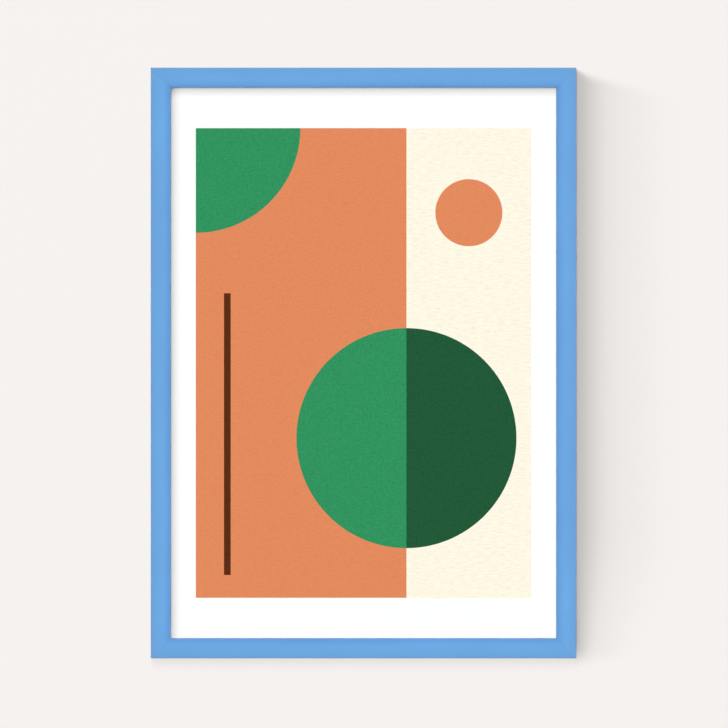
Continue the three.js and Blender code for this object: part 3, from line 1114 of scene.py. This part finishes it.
def makeStage():
    s = backdrops
    x, wallY = s["wallWidth"] / 2, outerHigh.y + s["wallGap"]
    floorZ = outerLow.z - s["floorDrop"]
    topZ = floorZ + s["wallHeight"]
    wallCorners = [(-x, wallY, floorZ), (x, wallY, floorZ), (x, wallY, topZ), (-x, wallY, topZ)]
    wall = backdrop("wall", wallCorners, oneSidedPaint("wallPaint"))
    floorCorners = [(-x, -x, floorZ), (x, -x, floorZ), (x, x, floorZ), (-x, x, floorZ)]
    floor = backdrop("floor", floorCorners, oneSidedPaint("floorPaint"))
    wall.visible_shadow = floor.visible_shadow = False
    wall.visible_glossy = wall.visible_transmission = False

    # an unseen card in the right rail casts the wall's shadow, and lets it fade towards the foot
    side, back = outerHigh.x - shadowCard["inset"], outerHigh.y
    widest = shadowCard["narrowing"][0][1] * mm
    cardCorners = [(side, back, outerHigh.z), (side, back - widest, outerHigh.z)]
    for height, width in shadowCard["narrowing"]:
        cardCorners.append((side, back - width * mm, outerLow.z + height * mm))
    card = backdrop("shadowCard", cardCorners, wall.active_material)
    card.visible_camera = card.visible_glossy = card.visible_transmission = False


# far panels under the name of what they light: the slopes are how far one reaches to the left and
# up for each metre out from the wall, and light is its share on a surface that lies along the wall
panels = {
    "wall": {
        "wallFront": {"left": (-0.04, 0.06), "up": (-0.02, 0.02), "light": 0.361},
        "wallHigh": {"left": (0.0, 0.1), "up": (0.0, 0.5), "light": 0.19},
        "wallNear": {"left": (0.2, 0.65), "up": (0.35, 0.55), "light": 0.158, "castBy": "shadowCard"},
        "wallSide": {"left": (0.65, 1.2), "up": (0.5, 0.7), "light": 0.137, "castBy": "shadowCard"},
        "wallFar": {"left": (1.2, 2.4), "up": (0.6, 0.9), "light": 0.074, "castBy": "shadowCard"},
        "wallRim": {"left": (2.4, 4), "up": (0.8, 1.2), "light": 0.052, "castBy": "shadowCard"},
    },
    "artPrint": {
        "printSide": {"left": (0.0, 1.05), "up": (-0.15, 0.15), "light": 0.4},
        "printFarSide": {"left": (1.05, 1.7), "up": (-0.15, 0.15), "light": 0.135},
        "printTop": {"left": (-0.15, 0.15), "up": (0.0, 1.05), "light": 0.4},
        "printHighTop": {"left": (-0.15, 0.15), "up": (1.05, 1.7), "light": 0.135},
    },
    "rest": {
        "front": {"left": (-0.2, 0.2), "up": (-0.2, 0.2), "light": 0.71},
        "leftFill": {"left": (4, 12), "up": (-1.5, 3), "light": 0.05},
        "rightFill": {"left": (-12, -4), "up": (-1.5, 3), "light": 0.055},
        "topFill": {"left": (-2, 2), "up": (4, 12), "light": 0.05},
        "lowFill": {"left": (-2, 2), "up": (-12, -4), "light": 0.035},
    },
    "floor": {"floorLight": {"left": (-0.4, 0.4), "up": (0.8, 1.6), "light": 0.7}},
    "backs": {
        "backWindow": {"left": (-0.5, 0.1), "up": (0.05, 0.6), "light": 0.68, "behind": True},
        "backFill": {"left": (0.2, 0.8), "up": (-0.4, 0.2), "light": 0.34, "behind": True},
    },
    "rails": {"backRails": {"left": (-0.2, 0.1), "up": (-0.1, 0.2), "light": 0.6, "behind": True}},
    "railLeft": {"rebateLeft": {"left": (-2.5, -0.8), "up": (-0.4, 0.4), "light": 0.24, "behind": True}},
    "railRight": {"rebateRight": {"left": (0.8, 2.5), "up": (-0.4, 0.4), "light": 0.24, "behind": True}},
    "railTop": {"rebateTop": {"left": (-0.4, 0.4), "up": (-2.5, -0.8), "light": 0.24, "behind": True}},
    "railBottom": {"rebateBottom": {"left": (-0.4, 0.4), "up": (0.8, 2.5), "light": 0.24, "behind": True}},
}
fullLight = 1.1  # radiance of a white sheet on the wall
panelDistance = 120


def hangPanel(name, panel):
    turns = [math.atan(slope) for slope in panel["left"]]
    turn = sum(turns) / 2
    rises = [math.atan(slope * math.cos(turn)) for slope in panel["up"]]
    rise = sum(rises) / 2
    out = math.cos(turn) * math.cos(rise)
    wayOut = out if panel.get("behind") else -out
    direction = Vector((-math.sin(turn) * math.cos(rise), wayOut, math.sin(rise)))
    data = bpy.data.lights.new(name, "AREA")
    data.shape = "RECTANGLE"
    data.size = 2 * math.tan((turns[1] - turns[0]) / 2) * math.cos(rise) * panelDistance
    data.size_y = 2 * math.tan((rises[1] - rises[0]) / 2) * panelDistance
    data.energy = panel["light"] * fullLight / out * (math.pi * panelDistance) ** 2
    lamp = bpy.data.objects.new(name, data)
    scene.collection.objects.link(lamp)
    lamp.location = outerCentre + direction * panelDistance
    lamp.rotation_euler = direction.to_track_quat("Z", "Y").to_euler()
    lamp.visible_camera = lamp.visible_glossy = lamp.visible_transmission = False
    return lamp


def makeLights():
    def grouped(names, state="INCLUDE"):
        group = bpy.data.collections.new("lit" + "".join(names))
        for name in names:
            group.objects.link(bpy.data.objects[name])
        for member in group.collection_objects:
            member.light_linking.link_state = state
        return group

    rails = ["railLeft", "railTop", "railRight", "railBottom"]
    apart = ["wall", "floor", "artPrint"]
    groups = {name: grouped([name]) for name in apart + ["shadowCard"] + rails}
    groups["rails"] = grouped(rails)
    groups["rest"] = grouped(apart, "EXCLUDE")
    groups["backs"] = grouped(apart + rails, "EXCLUDE")
    for target, lit in panels.items():
        for name, panel in lit.items():
            lamp = hangPanel(name, panel)
            lamp.light_linking.receiver_collection = groups[target]
            if "castBy" in panel:  # the only thing that shades what this panel lights
                lamp.light_linking.blocker_collection = groups[panel["castBy"]]


room = {
    "colour": (1.0, 0.965, 0.938, 1),
    "seen": 0.92,  # strength of the backdrop to the camera
    "fill": 0.084,  # strength as light
    "mirrorLow": 0.35,  # strength in reflections, low down and high up
    "mirrorHigh": 1.1,
    "darkEnd": (0.8, 0.97),  # how squarely a reflection looks out at the dark end behind the camera
    "windowTo": (-0.45, 0.89, 0),
    "window": 1.1,
    "windowTop": (0.3, 0.1),  # low, so the top rail misses it
}


def makeWorld():
    # pale to the camera, faint as light, and a room with a dark end in reflections
    world = bpy.data.worlds.new("studio")
    scene.world = world
    world.use_nodes = True
    tree = world.node_tree
    direction = addNode(tree, "ShaderNodeTexCoord").outputs["Generated"]
    axes = addNode(tree, "ShaderNodeSeparateXYZ", {0: direction}).outputs
    lit = remap(tree, calc(tree, "MULTIPLY", axes["Y"], -1.0), *room["darkEnd"], 1.0, 0.0)
    walls = remap(tree, axes["Z"], -0.3, 0.7, room["mirrorLow"], room["mirrorHigh"])
    facing = vectorMath(tree, "DOT_PRODUCT", direction, room["windowTo"], "Value")
    window = remap(tree, facing, 0.7, 0.98, 0.0, room["window"])
    window = calc(tree, "MULTIPLY", window, remap(tree, axes["Z"], *room["windowTop"]))
    mirrored = calc(tree, "MULTIPLY", calc(tree, "ADD", walls, window), lit)

    path = addNode(tree, "ShaderNodeLightPath").outputs
    seen = calc(tree, "MULTIPLY", path["Is Camera Ray"], room["seen"])
    mirrored = calc(tree, "MULTIPLY", path["Is Glossy Ray"], mirrored)
    looked = calc(tree, "ADD", path["Is Camera Ray"], path["Is Glossy Ray"])
    other = calc(tree, "SUBTRACT", 1.0, looked, clamp=True)
    fill = calc(tree, "MULTIPLY", other, room["fill"])
    strength = calc(tree, "ADD", calc(tree, "ADD", seen, mirrored), fill)
    background = tree.nodes["Background"]
    background.inputs["Color"].default_value = room["colour"]
    feed(tree, background, {"Strength": strength})


def stopBounces():
    # light thrown back by the frame would tint the wall all round it
    for item in scene.objects:
        if item.type == "MESH":
            item.visible_diffuse = False


makeCamera()
makeStage()
stopBounces()
makeLights()
makeWorld()
scene.view_settings.view_transform = "Standard"
print("camera, stage and light made")
